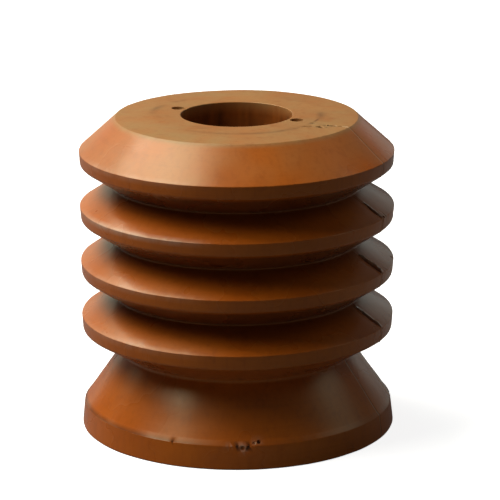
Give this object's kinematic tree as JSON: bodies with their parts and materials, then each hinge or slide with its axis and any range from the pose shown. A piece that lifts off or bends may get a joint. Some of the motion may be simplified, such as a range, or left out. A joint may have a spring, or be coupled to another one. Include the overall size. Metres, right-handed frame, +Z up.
{
  "type": "hollow composite insulator body",
  "caption": "Hollow moulded insulator body: flat-edged sheds over a flared foot, a plain through bore and small fixing holes beside it in the crowned head.",
  "frame": {"origin": "centre of the foot's flat underside", "axes": "+Z up along the bore axis; the mould's parting plane and the two fixing holes lie on the X axis, and the worn side of the parting line faces +X"},
  "size_m": [0.1612, 0.1612, 0.1618],
  "materials": {
    "body": "orange-brown filled moulding compound, satin and slightly waxy, with fine drag marks, a parting-line scar and small pits"
  },
  "bodies": {
    "root": {"insulator_body": "body"}
  },
  "joints": []
}
